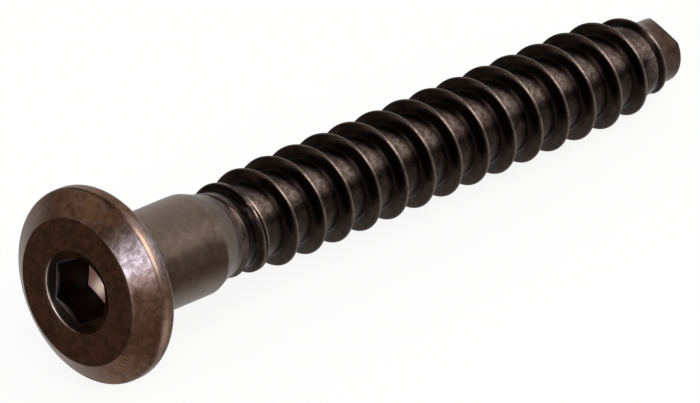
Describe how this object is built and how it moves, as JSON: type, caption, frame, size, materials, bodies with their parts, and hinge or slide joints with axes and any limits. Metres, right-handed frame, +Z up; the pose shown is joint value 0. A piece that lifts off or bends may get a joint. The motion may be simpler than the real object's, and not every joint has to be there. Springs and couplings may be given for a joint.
{
  "type": "confirmat screw",
  "caption": "Confirmat screw for furniture panels: bevelled flat head with a hexagon socket, smooth shank, coarse rolled thread and a plain sheared tip.",
  "frame": {"origin": "on the table, under the middle of the lying screw's box", "axes": "+Z up; +X from the head toward the tip as the screw lies; +Y to its left, seen from the head"},
  "size_m": [0.0544, 0.013, 0.013],
  "materials": {
    "bronzed_steel": "dark bronzed zinc plating, semi-gloss"
  },
  "bodies": {
    "root": {"screw": "bronzed_steel"}
  },
  "joints": []
}
